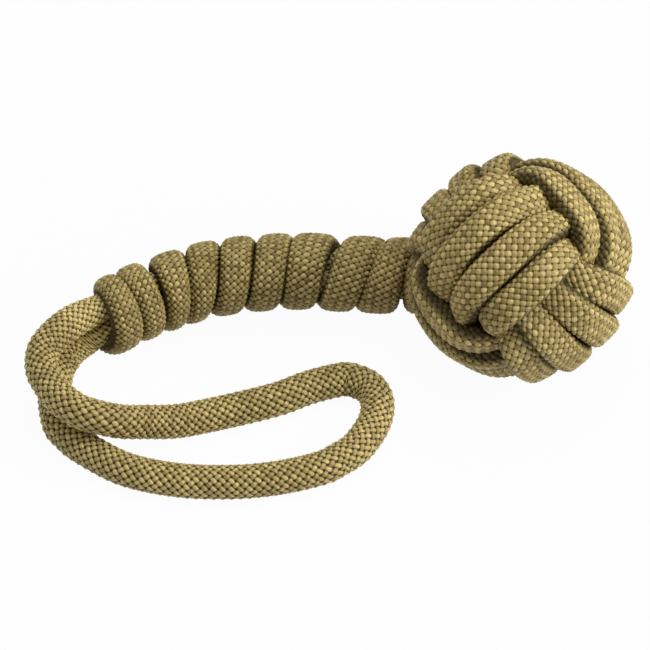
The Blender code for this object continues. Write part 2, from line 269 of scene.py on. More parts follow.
class FistSettings(bpy.types.PropertyGroup):
    """The fist: three sets of turns round the ball"""

    turns: IntProperty(name="Turns", description="In each set", default=4)
    thickness: FloatProperty(
        name="Cord thickness", description="Of the cord as the fist squeezes it", default=3.2 * MM,
        unit="LENGTH", precision=5,
    )
    corner: FloatProperty(
        name="Corner", description="Of the squeezed cord, 1 where its edges are half round",
        default=0.76,
    )
    layer: FloatProperty(
        name="Layer", description="Height of one layer of cord", default=2.14 * MM, unit="LENGTH",
        precision=5,
    )
    step: FloatProperty(
        name="Step", description="Angle from one turn to the next", default=math.radians(21.4),
        subtype="ANGLE",
    )
    squeeze: FloatProperty(
        name="Squeeze", description="How much wider than their spacing the turns are",
        default=-0.05 * MM, unit="LENGTH", precision=5,
    )
    dome: FloatProperty(
        name="Dome", description="How far the cord's flats swell", default=0.2 * MM, unit="LENGTH",
        precision=5,
    )


class HandleSettings(bpy.types.PropertyGroup):
    """The handle: two legs of cord inside a whipping"""

    diameter: FloatProperty(
        name="Diameter", description="Over the whipping", default=9.8 * MM, unit="LENGTH",
        precision=5,
    )
    thickness: FloatProperty(
        name="Wrap thickness", description="Of the cord in the whipping", default=3.2 * MM,
        unit="LENGTH", precision=5,
    )
    corner: FloatProperty(
        name="Corner", description="Of the squeezed cord, 1 where its edges are half round",
        default=1.0,
    )
    turns: FloatProperty(name="Turns", description="Of the whipping", default=9.36)
    start: FloatProperty(
        name="Start", description="Where the whipping starts, along the handle", default=0.3 * MM,
        unit="LENGTH", precision=5,
    )
    start_angle: FloatProperty(
        name="Start angle", description="Where the whipping starts, round the handle",
        default=math.radians(45), subtype="ANGLE",
    )
    pitch_at_fist: FloatProperty(
        name="Pitch at the fist", description="From one turn to the next", default=5.42 * MM,
        unit="LENGTH", precision=5,
    )
    pitch_at_loop: FloatProperty(
        name="Pitch at the loop", description="From one turn to the next", default=3.67 * MM,
        unit="LENGTH", precision=5,
    )
    stray: FloatProperty(
        name="Stray", description="Length of one unit of the turns' strays from an even winding",
        default=1.0 * MM, unit="LENGTH", precision=5,
    )
    last_room: FloatProperty(
        name="Last room", description="How much wider the last turn spreads", default=0.7 * MM,
        unit="LENGTH", precision=5,
    )
    dome: FloatProperty(
        name="Dome", description="How far the cord's flats swell", default=0.35 * MM, unit="LENGTH",
        precision=5,
    )
    leg_thickness: FloatProperty(
        name="Leg thickness", description="Of a leg as the whipping squeezes it", default=3.1 * MM,
        unit="LENGTH", precision=5,
    )
    leg_width: FloatProperty(
        name="Leg width", description="Of a leg as the whipping squeezes it", default=3.9 * MM,
        unit="LENGTH", precision=5,
    )
    leg_end: FloatProperty(
        name="Leg end", description="Where the legs start to swell, along the handle",
        default=40.5 * MM, unit="LENGTH", precision=5,
    )
    leg_twist: FloatProperty(
        name="Leg twist", description="How far the pair of legs twists towards the loop",
        default=math.radians(-60), subtype="ANGLE",
    )


class StageSettings(bpy.types.PropertyGroup):
    """The table, the lamps and the camera"""

    elevation: FloatProperty(
        name="Elevation", description="Of the camera", default=math.radians(48), subtype="ANGLE"
    )
    distance: FloatProperty(
        name="Distance", description="Of the camera from the fob", default=1.0, unit="LENGTH"
    )
    view_width: FloatProperty(
        name="View width", description="Seen at the fob", default=80.6 * MM, unit="LENGTH",
        precision=5,
    )
    floor: FloatVectorProperty(
        name="Table", description="Colour of the table", subtype="COLOR", default=(0.8, 0.8, 0.8)
    )
    lift: FloatProperty(
        name="Lift", description="How far the table's shadows are lifted to white", default=0.96
    )
    top: FloatProperty(name="Top lamp", description="Its power in watts", default=2.7)
    right: FloatProperty(name="Right lamp", description="Its power in watts", default=2.35)
    left: FloatProperty(name="Left lamp", description="Its power in watts", default=0.5)
    sky: FloatProperty(name="Sky", description="Strength of the light all round", default=0.16)


def unit(vectors):
    """The vectors at length one."""
    return vectors / np.linalg.norm(vectors, axis=-1, keepdims=True)


def square_to(vectors, ways):
    """The vectors turned square to the given unit directions."""
    return unit(vectors - np.sum(vectors * ways, axis=-1, keepdims=True) * ways)


def smooth_step(x):
    """0 below 0, 1 above 1, and 3x² - 2x³ between."""
    x = np.clip(x, 0, 1)
    return x * x * (3 - 2 * x)


def run_length(points):
    """How far along the run each point lies."""
    steps = np.linalg.norm(np.diff(points, axis=0), axis=1)
    return np.concatenate([[0], np.cumsum(steps)])


def directions(points):
    """The unit direction of a run at each of its points."""
    return unit(np.gradient(points, axis=0))


def read_at(run, far, places):
    """The run's columns, known at the distances far, read at other places."""
    return np.column_stack([np.interp(places, far, column) for column in run.T])


def smooth_curve(points):
    """A Catmull-Rom curve: through every point, along the chord of its two neighbours there."""
    points = np.array(points, float)
    first = 2 * points[0] - points[1]
    last = 2 * points[-1] - points[-2]
    knots = np.vstack([first, points, last])
    a, b, c, d = (knots[k : len(knots) - 3 + k, None] for k in range(4))
    t = np.linspace(0, 1, BEND_POINTS, endpoint=False)[None, :, None]
    bend = (2 * a - 5 * b + 4 * c - d) * t**2 + (3 * b - a - 3 * c + d) * t**3
    curve = 0.5 * (2 * b + (c - a) * t + bend)
    return np.vstack([curve.reshape(-1, 3), points[-1:]])


def route(points):
    """A route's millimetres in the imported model's frame."""
    return ROUTE_ORIGIN + np.array(points) * MM


def laid(points, out, width, thickness, pick, corner=1.0):
    """A stretch of cord in columns: its middle, its way out, and the section and pick there."""
    out = square_to(out, directions(points))
    section = [size * np.ones(len(points)) for size in (width, thickness, corner, pick)]
    return np.column_stack([points, out, *section])


def bend_between(before, after, pull, pinch=0.0):
    """The cord between two stretches: a cubic Hermite curve, with the section changing smoothly.

    The pull is the length of both its end tangents, in straight distances from end to end. The
    cord gets narrower by the pinch's share halfway, as in a tight bend.
    """
    start, end = before[-1, POINT], after[0, POINT]
    leave, arrive = directions(before[-3:, POINT])[-1], directions(after[:3, POINT])[0]
    reach = pull * np.linalg.norm(end - start)
    t = np.linspace(0, 1, BEND_POINTS)[:, None]
    points = (2 * t**3 - 3 * t**2 + 1) * start + (t**3 - 2 * t**2 + t) * reach * leave
    points += (3 * t**2 - 2 * t**3) * end + (t**3 - t**2) * reach * arrive
    share = smooth_step(t)
    rest = (1 - share) * before[-1, 3:] + share * after[0, 3:]
    drawn_in = 1 - pinch * 4 * (share * (1 - share))[:, 0]
    return laid(points, rest[:, :3], rest[:, 3] * drawn_in, rest[:, 4], rest[:, 6], rest[:, 5])


def lie(c, values, shoulder=0.0):
    """A value over a turn: values hold it on top (c=1), at the corner (c=0) and beneath (c=-1).

    Between them it follows the parabola through the three, and a shoulder adds the cubic c - c³
    to it, by that many halves of the step from beneath to the top.
    """
    top, corner, beneath = values
    swing = (top - beneath) / 2 * c * (1 + shoulder * (1 - c * c))
    return corner + swing + ((top + beneath) / 2 - corner) * c * c


def set_of_turns(axes, fist, cord, start=SET_START, end=SET_END):
    """One set of turns, between two angles of its first and its last turn.

    The cord goes round from the first axis to the second. c = cos(2 theta) is 1 where it lies
    on top, along the first axis, and -1 where it passes beneath, along the second. Each time
    it comes round to the hidden under-crossing it shifts by one cord towards the third axis.
    """
    last = end + 2 * math.pi * (fist.turns - 1)
    theta = np.linspace(start, last, int(TURN_POINTS * (last - start) / (2 * math.pi)))
    place = np.full(len(theta), -(fist.turns - 1) / 2)
    for turn in range(fist.turns - 1):
        place += smooth_step((theta - SHIFT_START - 2 * math.pi * turn) / SHIFT_SPAN)
    outer = np.clip(np.abs(place) - 0.5, 0, 1)
    c = np.cos(2 * theta)
    layers = (1 - outer) * lie(c, INNER_LAYERS, INNER_SHOULDER)
    layers += outer * lie(c, OUTER_LAYERS, OUTER_SHOULDER)
    radius = BALL_RADIUS + BALL_ROOM + fist.thickness / 2 + layers * fist.layer
    side = np.clip(place / 0.5, -1, 1)
    aside = side * np.radians((1 - outer) * lie(c, INNER_ASIDE) + outer * lie(c, OUTER_ASIDE))
    roll = side * np.radians((1 - outer) * lie(c, INNER_ROLL) + outer * lie(c, OUTER_ROLL))
    round_it = np.cos(aside)[:, None] * np.column_stack([np.cos(theta), np.sin(theta)])
    way = np.column_stack([round_it, np.sin(aside)]) @ np.array(axes)
    points = FIST_MIDDLE + radius[:, None] * way
    along = directions(points)
    out = square_to(way, along)
    out = np.cos(roll)[:, None] * out + np.sin(roll)[:, None] * np.cross(out, along)
    width = radius * fist.step + fist.squeeze
    return laid(points, out, width, fist.thickness, cord.fist_pick, fist.corner)


def handle_frame(places):
    """Middle of the handle, and its front and up directions, at distances along it."""
    middle = smooth_curve(route(HANDLE_MIDDLE))
    found = read_at(np.column_stack([middle, directions(middle)]), run_length(middle), places)
    along = unit(found[:, 3:])
    up = square_to(np.array([[0.0, 0.0, 1.0]]), along)
    return found[:, :3], np.cross(up, along), up


def whipping(handle, cord):
    """A helix round the handle, from the fist to the loop, with its pitch easing evenly.

    Seen from the front each turn goes down, passes beneath and climbs the back. It strays from
    the even helix by a smooth step from each foot or crown to the next one. The cord is as wide
    as the mean distance to its neighbours, and the last turn spreads wider by a bell curve.
    """
    turn = np.linspace(0, handle.turns, int(handle.turns * TURN_POINTS))
    ease = (handle.pitch_at_fist - handle.pitch_at_loop) / (2 * handle.turns)
    angle = handle.start_angle - 2 * math.pi * turn
    place = handle.start + handle.pitch_at_fist * turn - ease * turn**2
    half = np.maximum(2 * turn - FIRST_FOOT, 0)
    half = np.floor(half) + smooth_step(half % 1)
    place += handle.stray * np.interp(half, np.arange(len(WRAP_STRAYS)), WRAP_STRAYS)
    last = np.exp(-((handle.turns - turn) / LAST_TURN_FADE) ** 2)
    middle, front, up = handle_frame(place)
    out = np.cos(angle)[:, None] * front + np.sin(angle)[:, None] * up
    points = middle + (handle.diameter - handle.thickness) / 2 * out
    to_next = np.linalg.norm(points[TURN_POINTS:] - points[:-TURN_POINTS], axis=1)
    ahead = np.append(to_next, np.full(TURN_POINTS, to_next[-1]))
    behind = np.append(np.full(TURN_POINTS, to_next[0]), to_next)
    width = (ahead + behind) / 2 + handle.last_room * last
    return laid(points, out, width, handle.thickness, cord.wrap_pick, handle.corner)


def leg(side, handle, cord):
    """One squeezed leg inside the whipping: 1 lies at the front, -1 at the back.

    The pair twists evenly on its way to the loop.
    """
    place = np.linspace(handle.start, handle.leg_end, TURN_POINTS)
    middle, front, up = handle_frame(place)
    angle = handle.leg_twist * np.linspace(0, 1, len(place))[:, None]
    out = side * (np.cos(angle) * front + np.sin(angle) * up)
    points = middle + handle.leg_thickness / 2 * out
    return laid(points, out, handle.leg_width, handle.leg_thickness, cord.loop_pick)


def finger_loop(cord):
    """The free loop, a full round cord, from the return leg to the outgoing leg."""
    points = smooth_curve(route(LOOP_ROUTE))
    up = np.array([[0.0, 0.0, 1.0]])
    return laid(points, up, cord.diameter, cord.diameter, cord.loop_pick)


def whole_cord(context):
    """The cord from end to end in even rows of its grid, as each node's rows by its name.

    The stitch number is the sum of the steps along the cord, each over the stitch spacing there.
    """
    cord, fist, handle = context.scene.fob_cord, context.scene.fob_fist, context.scene.fob_handle
    facing = unit(np.array(FIST_FACING))
    across = square_to(np.array(FIST_ACROSS), facing)
    third = np.cross(-facing, across)
    first = set_of_turns((-facing, across, third), fist, cord, start=FIRST_START)
    second = set_of_turns((third, -facing, across), fist, cord)
    last = set_of_turns((across, third, -facing), fist, cord, end=LAST_END)
    wrap = whipping(handle, cord)[::-1]
    outgoing = leg(1, handle, cord)
    returning = leg(-1, handle, cord)[::-1]
    loop = finger_loop(cord)[::-1]
    stretches = [
        ("handle_wrap", wrap),
        ("handle_wrap", bend_between(wrap, first, WRAP_PULL, TAIL_PINCH)),
        ("first_turns", first),
        ("second_turns", bend_between(first, second, BEND_PULL, BEND_PINCH)),
        ("second_turns", second),
        ("third_turns", bend_between(second, last, BEND_PULL, BEND_PINCH)),
        ("third_turns", last),
        ("outgoing_leg", bend_between(last, outgoing, LEG_PULL, TAIL_PINCH)),
        ("outgoing_leg", outgoing),
        ("outgoing_leg", bend_between(outgoing, loop, LOOP_PULL)),
        ("finger_loop", loop),
        ("return_leg", bend_between(loop, returning, LOOP_PULL)),
        ("return_leg", returning),
    ]
    whole = np.vstack([stretches[0][1]] + [stretch[1:] for _, stretch in stretches[1:]])
    ends = np.cumsum([len(stretches[0][1])] + [len(stretch) - 1 for _, stretch in stretches[1:]])
    steps = np.diff(run_length(whole[:, POINT]))
    stitch = np.concatenate([[0], np.cumsum(steps / ((whole[1:, PICK] + whole[:-1, PICK]) / 2))])
    rows = np.arange(0, int(stitch[-1] * cord.grid)) / cord.grid
    whole = np.column_stack([read_at(whole, stitch, rows), rows])
    marks = np.searchsorted(rows, stitch[ends - 1])
    parts, begin = {}, 0
    for (name, _), mark in zip(stretches, marks):
        parts[name] = (parts.get(name, (begin, 0))[0], min(mark, len(rows) - 1))
        begin = mark
    return {name: whole[begin : end + 1] for name, (begin, end) in parts.items()}


def stitch_height(around, along, yarn):
    """Height of the braid's surface, from 0 in the deepest crevices to 1 on a crest.

    Yarns run both ways round the cord, one at each whole number of around - along and of
    around + along. Each one's back falls off with the fourth power over the yarn's width. Where
    two cross, the rightward one lies over if their numbers add to an even number and under if
    not, and from one crossing to the next it dips or rises by a cosine. The higher one shows.
    """
    rightward, leftward = around - along, around + along
    right_yarn, left_yarn = np.rint(rightward), np.rint(leftward)
    right_aside, left_aside = rightward - right_yarn, leftward - left_yarn
    over = np.cos(math.pi * (right_yarn + left_yarn))
    right = 1 - (2 * right_aside / yarn) ** 4 + over * np.cos(math.pi * left_aside)
    left = 1 - (2 * left_aside / yarn) ** 4 - over * np.cos(math.pi * right_aside)
    return np.maximum(0, np.maximum(right, left)) / 2


def outline(share, width, thickness, corner, dome):
    """A flattened cord's section at shares of its way round: its x and y, and its normal's.

    It is a rectangle whose corners are rounded by a share of its half thickness, walked at an
    even pace from the middle of its right side. The flats swell by a parabola of the given height.
    """
    tall = thickness / 2 - dome
    radius = corner * tall
    side = tall - radius
    flat = np.maximum(0, width / 2 - radius)
    quarter = side + radius * math.pi / 2 + flat
    turn = (share % 1) * 4
    quadrant = np.floor(turn)
    into = np.where(quadrant % 2 == 0, turn - quadrant, 1 - turn + quadrant) * quarter
    angle = np.clip((into - side) / radius, 0, math.pi / 2)
    inwards = np.maximum(into - side - radius * math.pi / 2, 0)
    sign_x = np.where((quadrant == 0) | (quadrant == 3), 1.0, -1.0)
    sign_y = np.where(quadrant < 2, 1.0, -1.0)
    x = flat + radius * np.cos(angle) - inwards
    swell = dome * (1 - (x / (flat + radius)) ** 2)
    y = np.minimum(into, side) + radius * np.sin(angle) + swell
    return sign_x * x, sign_y * y, sign_x * np.cos(angle), sign_y * np.sin(angle)


def rest_on_table(points):
    """Points near or below the table eased up onto it, by an exponential of their height."""
    low = points[..., 2] < TABLE_EASE
    points[low, 2] = TABLE_EASE * np.exp((points[low, 2] - TABLE_EASE) / TABLE_EASE)
    return points


def sheath(rows, cord, yarn, dome):
    """The braided surface round a run of rows: its grid of points, its wales and their rise.

    A column of the grid follows a wale, which twists slowly round the cord by two sines. Each
    point lies on the cord's outline, and is sunk square to it by the stitch depth times what the
    stitch height there lacks of 1. The rise is the outline's height over half the thickness: 1
    at the middle of the outer flat and -1 at the middle of the inner one.
    """
    count = cord.wales * cord.grid
    wale = np.arange(count) / cord.grid
    stitch = rows[:, STITCH, None]
    twist = sum(size * np.sin(stitch / length + start) for size, length, start in TWISTS)
    section = [rows[:, column, None] for column in (WIDTH, THICKNESS, CORNER)]
    x, y, normal_x, normal_y = outline((wale[None] + twist) / cord.wales, *section, dome)
    along = directions(rows[:, POINT])
    out = square_to(rows[:, OUT], along)
    across = np.cross(out, along)[:, None]
    out = out[:, None]
    lift = ((stitch_height(wale[None], stitch, yarn) - 1) * cord.depth)[:, :, None]
    points = rows[:, None, POINT] + x[:, :, None] * across + y[:, :, None] * out
    points = points + lift * (normal_x[:, :, None] * across + normal_y[:, :, None] * out)
    return rest_on_table(points), np.append(wale, cord.wales), y / (section[1] / 2)


def tube_faces(rings, round_it):
    """The four corners of each square on a grid that closes round, and triangles over its ends.

    Each end's triangles meet in one point, and the two points come after those of the grid.
    """
    here = np.arange(round_it)
    following = (here + 1) % round_it
    ring = np.arange(rings - 1)[:, None] * round_it
    below, above = ring, ring + round_it
    squares = np.stack([below + here, below + following, above + following, above + here], axis=-1)
    last = (rings - 1) * round_it
    start, end = np.full(round_it, rings * round_it), np.full(round_it, rings * round_it + 1)
    start_cap = np.column_stack([start, following, here])
    end_cap = np.column_stack([end, last + here, last + following])
    return squares, np.vstack([start_cap, end_cap])


def sheath_mesh(name, rows, cord, yarn, dome=0.0):
    """A closed mesh of the braided surface, whose squares are cut along the nearest crevice.

    Its UV map holds the wale and the stitch number, in which the braid is even everywhere, and
    its attribute the rise. The caps over its ends never show, and take one place in the braid.
    """
    points, wales, rise = sheath(rows, cord, yarn, dome)
    stitch = rows[:, STITCH]
    squares, caps = tube_faces(*points.shape[:2])
    column, number = np.arange(points.shape[1]), np.rint(stitch[:-1, None] * cord.grid)
    aside = (column - number) / cord.grid, (column + number + 1) / cord.grid
    aside = [np.abs(place - np.rint(place)) for place in aside]
    rightward = (aside[0] > aside[1])[..., None]
    lower = np.where(rightward, squares[..., [0, 1, 2]], squares[..., [0, 1, 3]])
    upper = np.where(rightward, squares[..., [0, 2, 3]], squares[..., [1, 2, 3]])
    triangles = np.vstack([lower.reshape(-1, 3), upper.reshape(-1, 3), caps])

    place = np.stack(np.broadcast_arrays(wales[None], stitch[:, None]), axis=-1)
    corners = np.stack([place[:-1, :-1], place[:-1, 1:], place[1:, 1:], place[1:, :-1]], axis=-2)
    rightward = rightward[..., None]
    lower_uv = np.where(rightward, corners[..., [0, 1, 2], :], corners[..., [0, 1, 3], :])
    upper_uv = np.where(rightward, corners[..., [0, 2, 3], :], corners[..., [1, 2, 3], :])
    cap_uv = np.tile([[0.25, stitch[0]]], (caps.size, 1))
    uv = np.vstack([lower_uv.reshape(-1, 2), upper_uv.reshape(-1, 2), cap_uv])
    vertices = np.vstack([points.reshape(-1, 3), points[0].mean(axis=0), points[-1].mean(axis=0)])
    piece = new_piece(name, vertices, triangles, uv)
    layer = piece.data.attributes.new("rise", "FLOAT", "POINT")
    layer.data.foreach_set("value", np.append(rise.ravel(), [0, 0]).astype(np.float32))
    return piece


def new_piece(name, vertices, triangles, uv=None):
    """A smooth piece at the origin from whole arrays, which rides on the model's one body."""
    mesh = bpy.data.meshes.new(name)
    mesh.vertices.add(len(vertices))
    mesh.vertices.foreach_set("co", vertices.ravel())
    mesh.loops.add(triangles.size)
    mesh.loops.foreach_set("vertex_index", triangles.ravel().astype(np.int32))
    mesh.polygons.add(len(triangles))
    mesh.polygons.foreach_set("loop_start", np.arange(0, triangles.size, 3, dtype=np.int32))
    mesh.polygons.foreach_set("use_smooth", np.ones(len(triangles), bool))
    if uv is not None:
        layer = mesh.uv_layers.new(name="braid")
        layer.data.foreach_set("uv", uv.ravel())
    mesh.update(calc_edges=True)
    mesh.validate()
    piece = bpy.data.objects.new(name, mesh)
    bpy.context.scene.collection.objects.link(piece)
    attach(piece, "root")
    return piece


class Value:
    """A number that changes over a material's surface. Arithmetic on it adds Math nodes."""

    def __init__(self, recipe, socket):
        self.recipe = recipe
        self.socket = socket

    def math(self, operation, *others):
        node = self.recipe.add("ShaderNodeMath", {"operation": operation}, dict(enumerate(others)))
        return Value(self.recipe, node.outputs[0])

    def __add__(self, other):
        return self.math("ADD", self, other)

    def __radd__(self, other):
        return self.math("ADD", other, self)

    def __sub__(self, other):
        return self.math("SUBTRACT", self, other)

    def __rsub__(self, other):
        return self.math("SUBTRACT", other, self)

    def __mul__(self, other):
        return self.math("MULTIPLY", self, other)

    def __rmul__(self, other):
        return self.math("MULTIPLY", other, self)

    def __pow__(self, other):
        return self.math("POWER", self, other)

    def __gt__(self, other):
        return self.math("GREATER_THAN", self, other)

    def cosine(self):
        return self.math("COSINE", self)

    def nearest(self):
        return self.math("FLOOR", self + 0.5)

    def within(self, span):
        return self.math("FLOORED_MODULO", self, span)

    def higher(self, other):
        return self.math("MAXIMUM", self, other)

    def lower(self, other):
        return self.math("MINIMUM", self, other)


class Recipe:
    """A material's nodes, added one at a time with their settings and what feeds them."""

    def __init__(self, name):
        self.material = bpy.data.materials.new(name)
        self.material.use_nodes = True
        self.tree = self.material.node_tree
        self.shader = self.tree.nodes["Principled BSDF"]

    def add(self, kind, settings=None, inputs=None):
        node = self.tree.nodes.new(kind)
        for key, setting in (settings or {}).items():
            setattr(node, key, setting)
        for key, source in (inputs or {}).items():
            self.feed(node.inputs[key], source)
        return node

    def feed(self, socket, source):
        if isinstance(source, Value):
            source = source.socket
        if isinstance(source, bpy.types.NodeSocket):
            self.tree.links.new(source, socket)
        else:
            socket.default_value = source

    def value(self, kind, settings=None, inputs=None, output=0):
        return Value(self, self.add(kind, settings, inputs).outputs[output])

    def ramp(self, value, low, high):
        """0 where the value is low or less, 1 where it is high or more, and smooth between."""
        settings = {"interpolation_type": "SMOOTHSTEP"}
        inputs = {"Value": value, "From Min": low, "From Max": high}
        return self.value("ShaderNodeMapRange", settings, inputs)

    def noise(self, place, scale, detail):
        """Smooth noise from 0 to 1, of a scale in waves to one unit of the place."""
        inputs = {"Vector": place, "Scale": scale, "Detail": detail}
        return self.value("ShaderNodeTexNoise", {}, inputs)

    def point(self, *parts):
        """A place from up to three values."""
        return self.add("ShaderNodeCombineXYZ", {}, dict(enumerate(parts))).outputs[0]

    def object_place(self):
        """Where the point lies on its piece, in metres."""
        return self.add("ShaderNodeTexCoord").outputs["Object"]

    def mixed(self, share, first, second):
        """One colour turning into another."""
        node = self.add("ShaderNodeMix", {"data_type": "RGBA"}, {0: share})
        self.feed(node.inputs[6], first)
        self.feed(node.inputs[7], second)
        return node.outputs[2]

    def shade(self, **inputs):
        for key, source in inputs.items():
            self.feed(self.shader.inputs[key.replace("_", " ")], source)
        return self.material


def darkened(dark, light):
    """1 where it is fully light, and less by the dark share where it is not."""
    return 1 - dark + dark * light


def braided_cord(name, cord, yarn, level, painted_sheen, mottle, crevice, relief, groove_shade=0.0):
    """Braided nylon: bright crests, crevices in painted shade, each stitch a little unlike the
    next.

    The braid is the same formula as the geometry's, read from the piece's UV map. The level is
    the bright colour's mean share. The contrast, a painted sheen in place of the fibres' highlight,
    is how much more of it the rightward yarns have than the leftward ones, and the mottle how much
    it differs by chance from stitch to stitch. The crevice is the stitch height that is still in
    painted shade, the one that is fully bright, and how dark that shade is. The relief is the
    bump's height. The groove is how dark the painted shade gets down a squeezed cord's sides,
    where its neighbours touch it.
    """
    recipe = Recipe(name)
    uv_map = recipe.add("ShaderNodeUVMap", {"uv_map": "braid"})
    braid = recipe.add("ShaderNodeSeparateXYZ", {}, {0: uv_map.outputs[0]})
    around = Value(recipe, braid.outputs[0])
    along = Value(recipe, braid.outputs[1])
    rightward, leftward = around - along, around + along
    right_yarn, left_yarn = rightward.nearest(), leftward.nearest()
    right_aside, left_aside = rightward - right_yarn, leftward - left_yarn
    over = (math.pi * (right_yarn + left_yarn)).cosine()
    right_edge, left_edge = (right_aside * right_aside) ** 2, (left_aside * left_aside) ** 2
    right = 1 - 16 / yarn**4 * right_edge + over * (math.pi * left_aside).cosine()
    left = 1 - 16 / yarn**4 * left_edge - over * (math.pi * right_aside).cosine()
    on_top = right > left
    height = right.higher(left).higher(0) * 0.5
    gap_unshaded = recipe.ramp(right.higher(left) - right.lower(left), 0.0, GAP_DEPTH)

    aside = on_top * right_aside + (1 - on_top) * left_aside
    lengthwise = on_top * leftward + (1 - on_top) * rightward
    wale = ((right_yarn + left_yarn) * 0.5).within(cord.wales)
    cell = recipe.point(wale, (left_yarn - right_yarn) * 0.5)
    luck = recipe.value("ShaderNodeTexWhiteNoise", {"noise_dimensions": "2D"}, {"Vector": cell})
    fibres = recipe.point(aside * FIBRES_ACROSS, lengthwise * FIBRES_ALONG, luck * FIBRE_JUMP)
    fibre = recipe.noise(fibres, FIBRE_SCALE, 2)
    patch = recipe.noise(recipe.object_place(), PATCH_SCALE, 1)

    # Rightward yarns take more of the bright colour than leftward ones: a painted sheen, standing
    # in for the highlight along their fibres. Mottle, fibres and patches are the yarn's own tone,
    # varying by chance.
    share = level + (on_top - 0.5) * painted_sheen * (0.25 + 1.3 * patch) + (luck - 0.5) * mottle
    share = share + (fibre - 0.5) * FIBRE_SHARE + (patch - 0.5) * PATCH_SHARE
    tint = recipe.mixed(share.higher(0).lower(1), (*cord.dull, 1), (*cord.bright, 1))
    low, high, depth = crevice
    # Painted shade: the crevices below the crest ramp and the gaps between crossing yarns darken
    # towards the dark colour
    crown = darkened(depth, recipe.ramp(height, low, high)) * darkened(GAP_SHADE, gap_unshaded)
    # Painted shade down the sides of a squeezed cord, where its neighbours touch it
    if groove_shade:
        rise = recipe.value("ShaderNodeAttribute", {"attribute_name": "rise"}, output="Fac")
        crown = crown * darkened(groove_shade, recipe.ramp(rise, *GROOVE_RISE))
    colour = recipe.mixed(crown, (*cord.dark, 1), tint)
    surface = height * relief + fibre * FIBRE_RELIEF
    bump = recipe.add("ShaderNodeBump", {}, {"Height": surface, "Strength": 1.0, "Distance": 1.0})
    return recipe.shade(
        Base_Color=colour,
        Roughness=0.58 - 0.14 * crown,
        Normal=bump.outputs[0],
        Specular_IOR_Level=0.34,
    )


def polished_steel(name):
    """Steel with a faint cloudiness."""
    recipe = Recipe(name)
    roughness = 0.22 + 0.16 * recipe.noise(recipe.object_place(), 400, 3)
    return recipe.shade(Base_Color=(0.62, 0.61, 0.58, 1), Metallic=1.0, Roughness=roughness)


def dress(piece, material, slot, *nodes):
    """Gives a piece its material and hides the nodes of the model that it stands for. The slot is
    not used.
    """
    piece.data.materials.append(material)
    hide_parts(*nodes)


class FOB_OT_core_ball(bpy.types.Operator):
    """The steel ball inside the fist"""

    bl_idname = "fob.core_ball"
    bl_label = "Core ball"

    def execute(self, context):
        """A sphere on a grid of meridians and circles, with a point at each pole.

        A point's height is the sine of its latitude, and its cosine is how far out it lies.
        """
        meridians, bands = 48, 24
        latitude = np.linspace(-math.pi / 2, math.pi / 2, bands + 1)[1:-1, None]
        longitude = np.arange(meridians)[None] * 2 * math.pi / meridians
        x, y = np.cos(latitude) * np.cos(longitude), np.cos(latitude) * np.sin(longitude)
        grid = np.stack([x, y, np.broadcast_to(np.sin(latitude), x.shape)], axis=-1)
        vertices = np.vstack([grid.reshape(-1, 3), [[0, 0, -1], [0, 0, 1]]])
        squares, caps = tube_faces(*x.shape)
        lower, upper = squares[..., [0, 1, 2]], squares[..., [0, 2, 3]]
        triangles = np.vstack([lower.reshape(-1, 3), upper.reshape(-1, 3), caps])
        ball = new_piece("steel_ball", BALL_MIDDLE + BALL_RADIUS * vertices, triangles)
        dress(ball, polished_steel("ball_steel"), "ball_steel", "core_ball")
        return {"FINISHED"}


class FOB_OT_fist(bpy.types.Operator):
    """The three sets of turns round the ball"""

    bl_idname = "fob.fist"
    bl_label = "Fist"

    def execute(self, context):
        cord, fist = context.scene.fob_cord, context.scene.fob_fist
        rows = whole_cord(context)
        material = braided_cord(
            "fist_cord", cord, cord.tight_yarn, level=0.48, painted_sheen=0.35, mottle=0.32,
            crevice=(0.05, 0.7, 0.9), relief=0.1 * MM, groove_shade=0.85,
        )
        for node in ("first_turns", "second_turns", "third_turns"):
            piece = sheath_mesh(node + "_braid", rows[node], cord, cord.tight_yarn, fist.dome)
            dress(piece, material, "fist_cord", node)
        return {"FINISHED"}


class FOB_OT_handle(bpy.types.Operator):
    """The whipping round the handle"""

    bl_idname = "fob.handle"
    bl_label = "Handle wrap"

    def execute(self, context):
        cord, handle = context.scene.fob_cord, context.scene.fob_handle
        rows = whole_cord(context)["handle_wrap"]
        piece = sheath_mesh("handle_wrap_braid", rows, cord, cord.tight_yarn, handle.dome)
        # The whipping's level, a little below the fist's, is painted shade: it darkens the whole
        # wrap for the shade on the handle's front
        material = braided_cord(
            "wrap_cord", cord, cord.tight_yarn, level=0.43, painted_sheen=0.3, mottle=0.34,
            crevice=(0.1, 0.7, 1.0), relief=0.1 * MM, groove_shade=0.85,
        )
        dress(piece, material, "wrap_cord", "handle_wrap")
        return {"FINISHED"}


class FOB_OT_loop(bpy.types.Operator):
    """The finger loop and the two legs that hold it"""

    bl_idname = "fob.loop"
    bl_label = "Finger loop"

    def execute(self, context):
        cord = context.scene.fob_cord
        rows = whole_cord(context)
        # The legs' level, well above the loop's, is painted light: it brightens the lower leg,
        # which lies in the shade of the upper leg and the loop
        leg_cord = braided_cord(
            "leg_cord", cord, cord.loose_yarn, level=0.88, painted_sheen=0.1, mottle=0.3,
            crevice=(0.05, 0.7, 0.9), relief=0.22 * MM,
        )
        for node in ("outgoing_leg", "return_leg"):
            piece = sheath_mesh(node + "_braid", rows[node], cord, cord.loose_yarn)
            dress(piece, leg_cord, "leg_cord", node)
        piece = sheath_mesh("finger_loop_braid", rows["finger_loop"], cord, cord.loose_yarn)
        material = braided_cord(
            "loop_cord", cord, cord.loose_yarn, level=0.62, painted_sheen=0.14, mottle=0.35,
            crevice=(0.1, 0.7, 0.95), relief=0.22 * MM,
        )
        dress(piece, material, "loop_cord", "finger_loop")
        path = rows["finger_loop"][:, POINT]
        path[:: cord.grid * 2].tolist() + [path[-1].tolist()]
        return {"FINISHED"}


